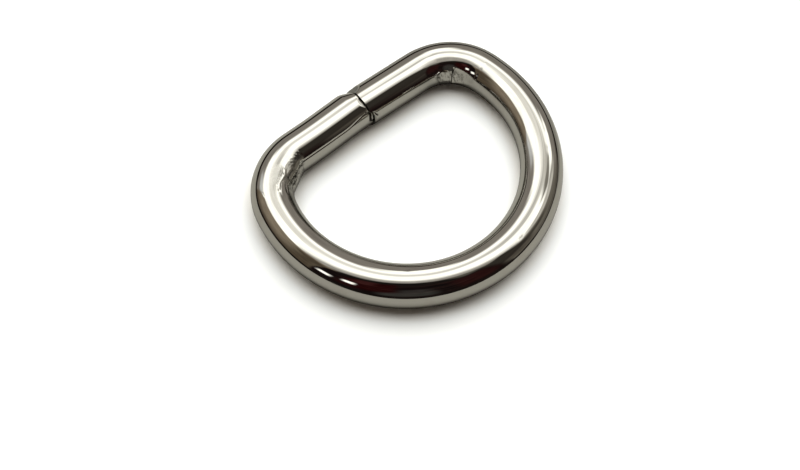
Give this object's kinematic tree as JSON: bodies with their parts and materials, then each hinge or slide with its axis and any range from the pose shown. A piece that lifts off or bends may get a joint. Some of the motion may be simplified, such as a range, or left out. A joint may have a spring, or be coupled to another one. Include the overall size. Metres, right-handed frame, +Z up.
{
  "type": "d ring",
  "caption": "D-shaped ring bent from round wire, with a straight bar for a strap, a round bow and an open butt joint in the bar.",
  "frame": {"origin": "under the middle of the ring's outer box, on the surface that it lies on", "axes": "+Z up, out of the flat of the ring; +X along the straight bar; the bar is on the +Y side and the bow on the -Y side"},
  "size_m": [0.0348, 0.0284, 0.0047],
  "materials": {
    "plated_wire": "polished nickel plate with fine wear"
  },
  "bodies": {
    "root": {"ring": "plated_wire"}
  },
  "joints": []
}
